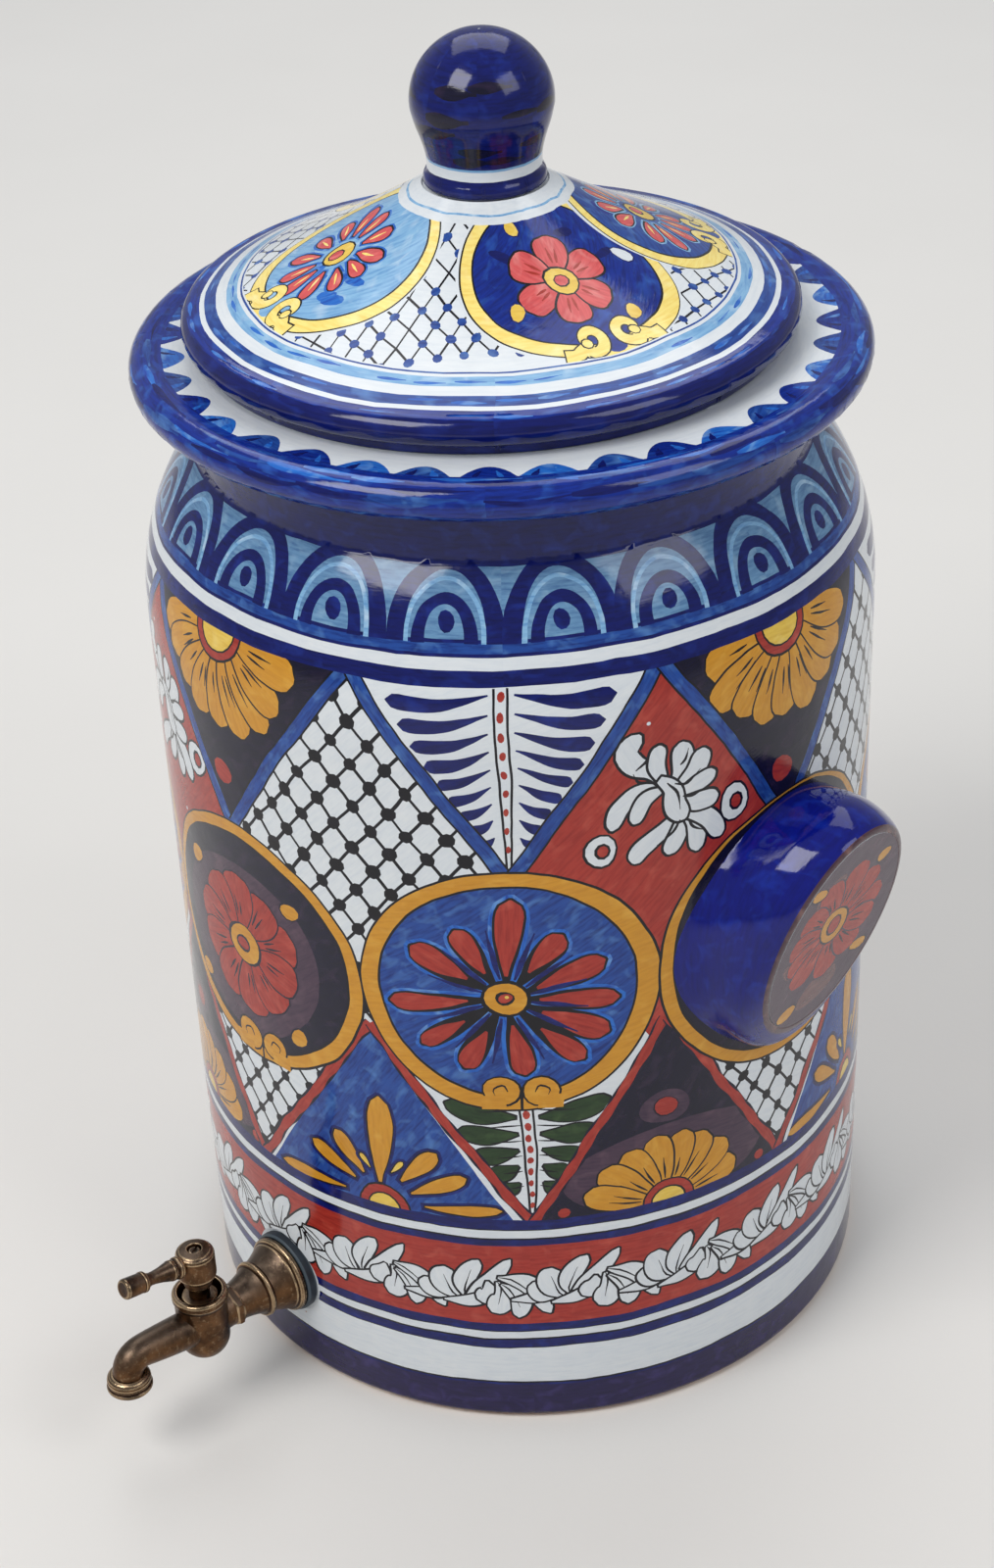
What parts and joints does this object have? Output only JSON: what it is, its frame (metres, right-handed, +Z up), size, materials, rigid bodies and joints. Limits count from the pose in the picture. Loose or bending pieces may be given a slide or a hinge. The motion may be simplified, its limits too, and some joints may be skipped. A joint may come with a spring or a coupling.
{
  "type": "water pot with tap",
  "caption": "Round glazed clay water pot with a lift-off domed lid, two side handles and a brass lever tap near the base.",
  "frame": {"origin": "middle of the flat base, on the table", "axes": "+Z up along the pot's axis; -Y towards the tap; +X and -X towards the two side handles"},
  "size_m": [0.341, 0.3583, 0.5114],
  "materials": {
    "glazed_clay": "glossy tin glaze with painted bands, medallions and lattices",
    "lid_clay": "glossy tin glaze with painted rings, flowers and lattice",
    "navy_glaze": "glossy dark blue glaze",
    "brass": "antiqued brown brass, satin, worn brighter on the edges",
    "screw_brass": "antiqued brown brass, satin",
    "rubber": "matt black rubber"
  },
  "bodies": {
    "pot": {"pot_body": "glazed_clay", "side_handle_right": "navy_glaze", "side_handle_left": "navy_glaze", "tap_body": "brass", "spout_outlet": "brass", "outer_washer": "rubber", "inner_washer": "rubber", "backing_washer": "brass", "lock_nut": "brass", "gland_packing": "rubber", "gland_nut": "brass"},
    "lid": {"lid": "lid_clay", "lid_knob": "navy_glaze"},
    "lever": {"valve_plug": "brass", "upper_o_ring": "rubber", "lower_o_ring": "rubber", "lever_hub": "brass", "lever_arm": "brass", "lever_tip": "brass", "hub_screw": "screw_brass"}
  },
  "joints": [
    {"name": "lid_lift", "type": "slide", "parent": "pot", "child": "lid", "axis": [0, 0, 1], "range_m": [0, 0.08]},
    {"name": "lever_turn", "type": "hinge", "parent": "pot", "child": "lever", "pos_m": [0, -0.177, 0.043], "axis": [0, 0, 1], "range_deg": [0, 90]}
  ]
}
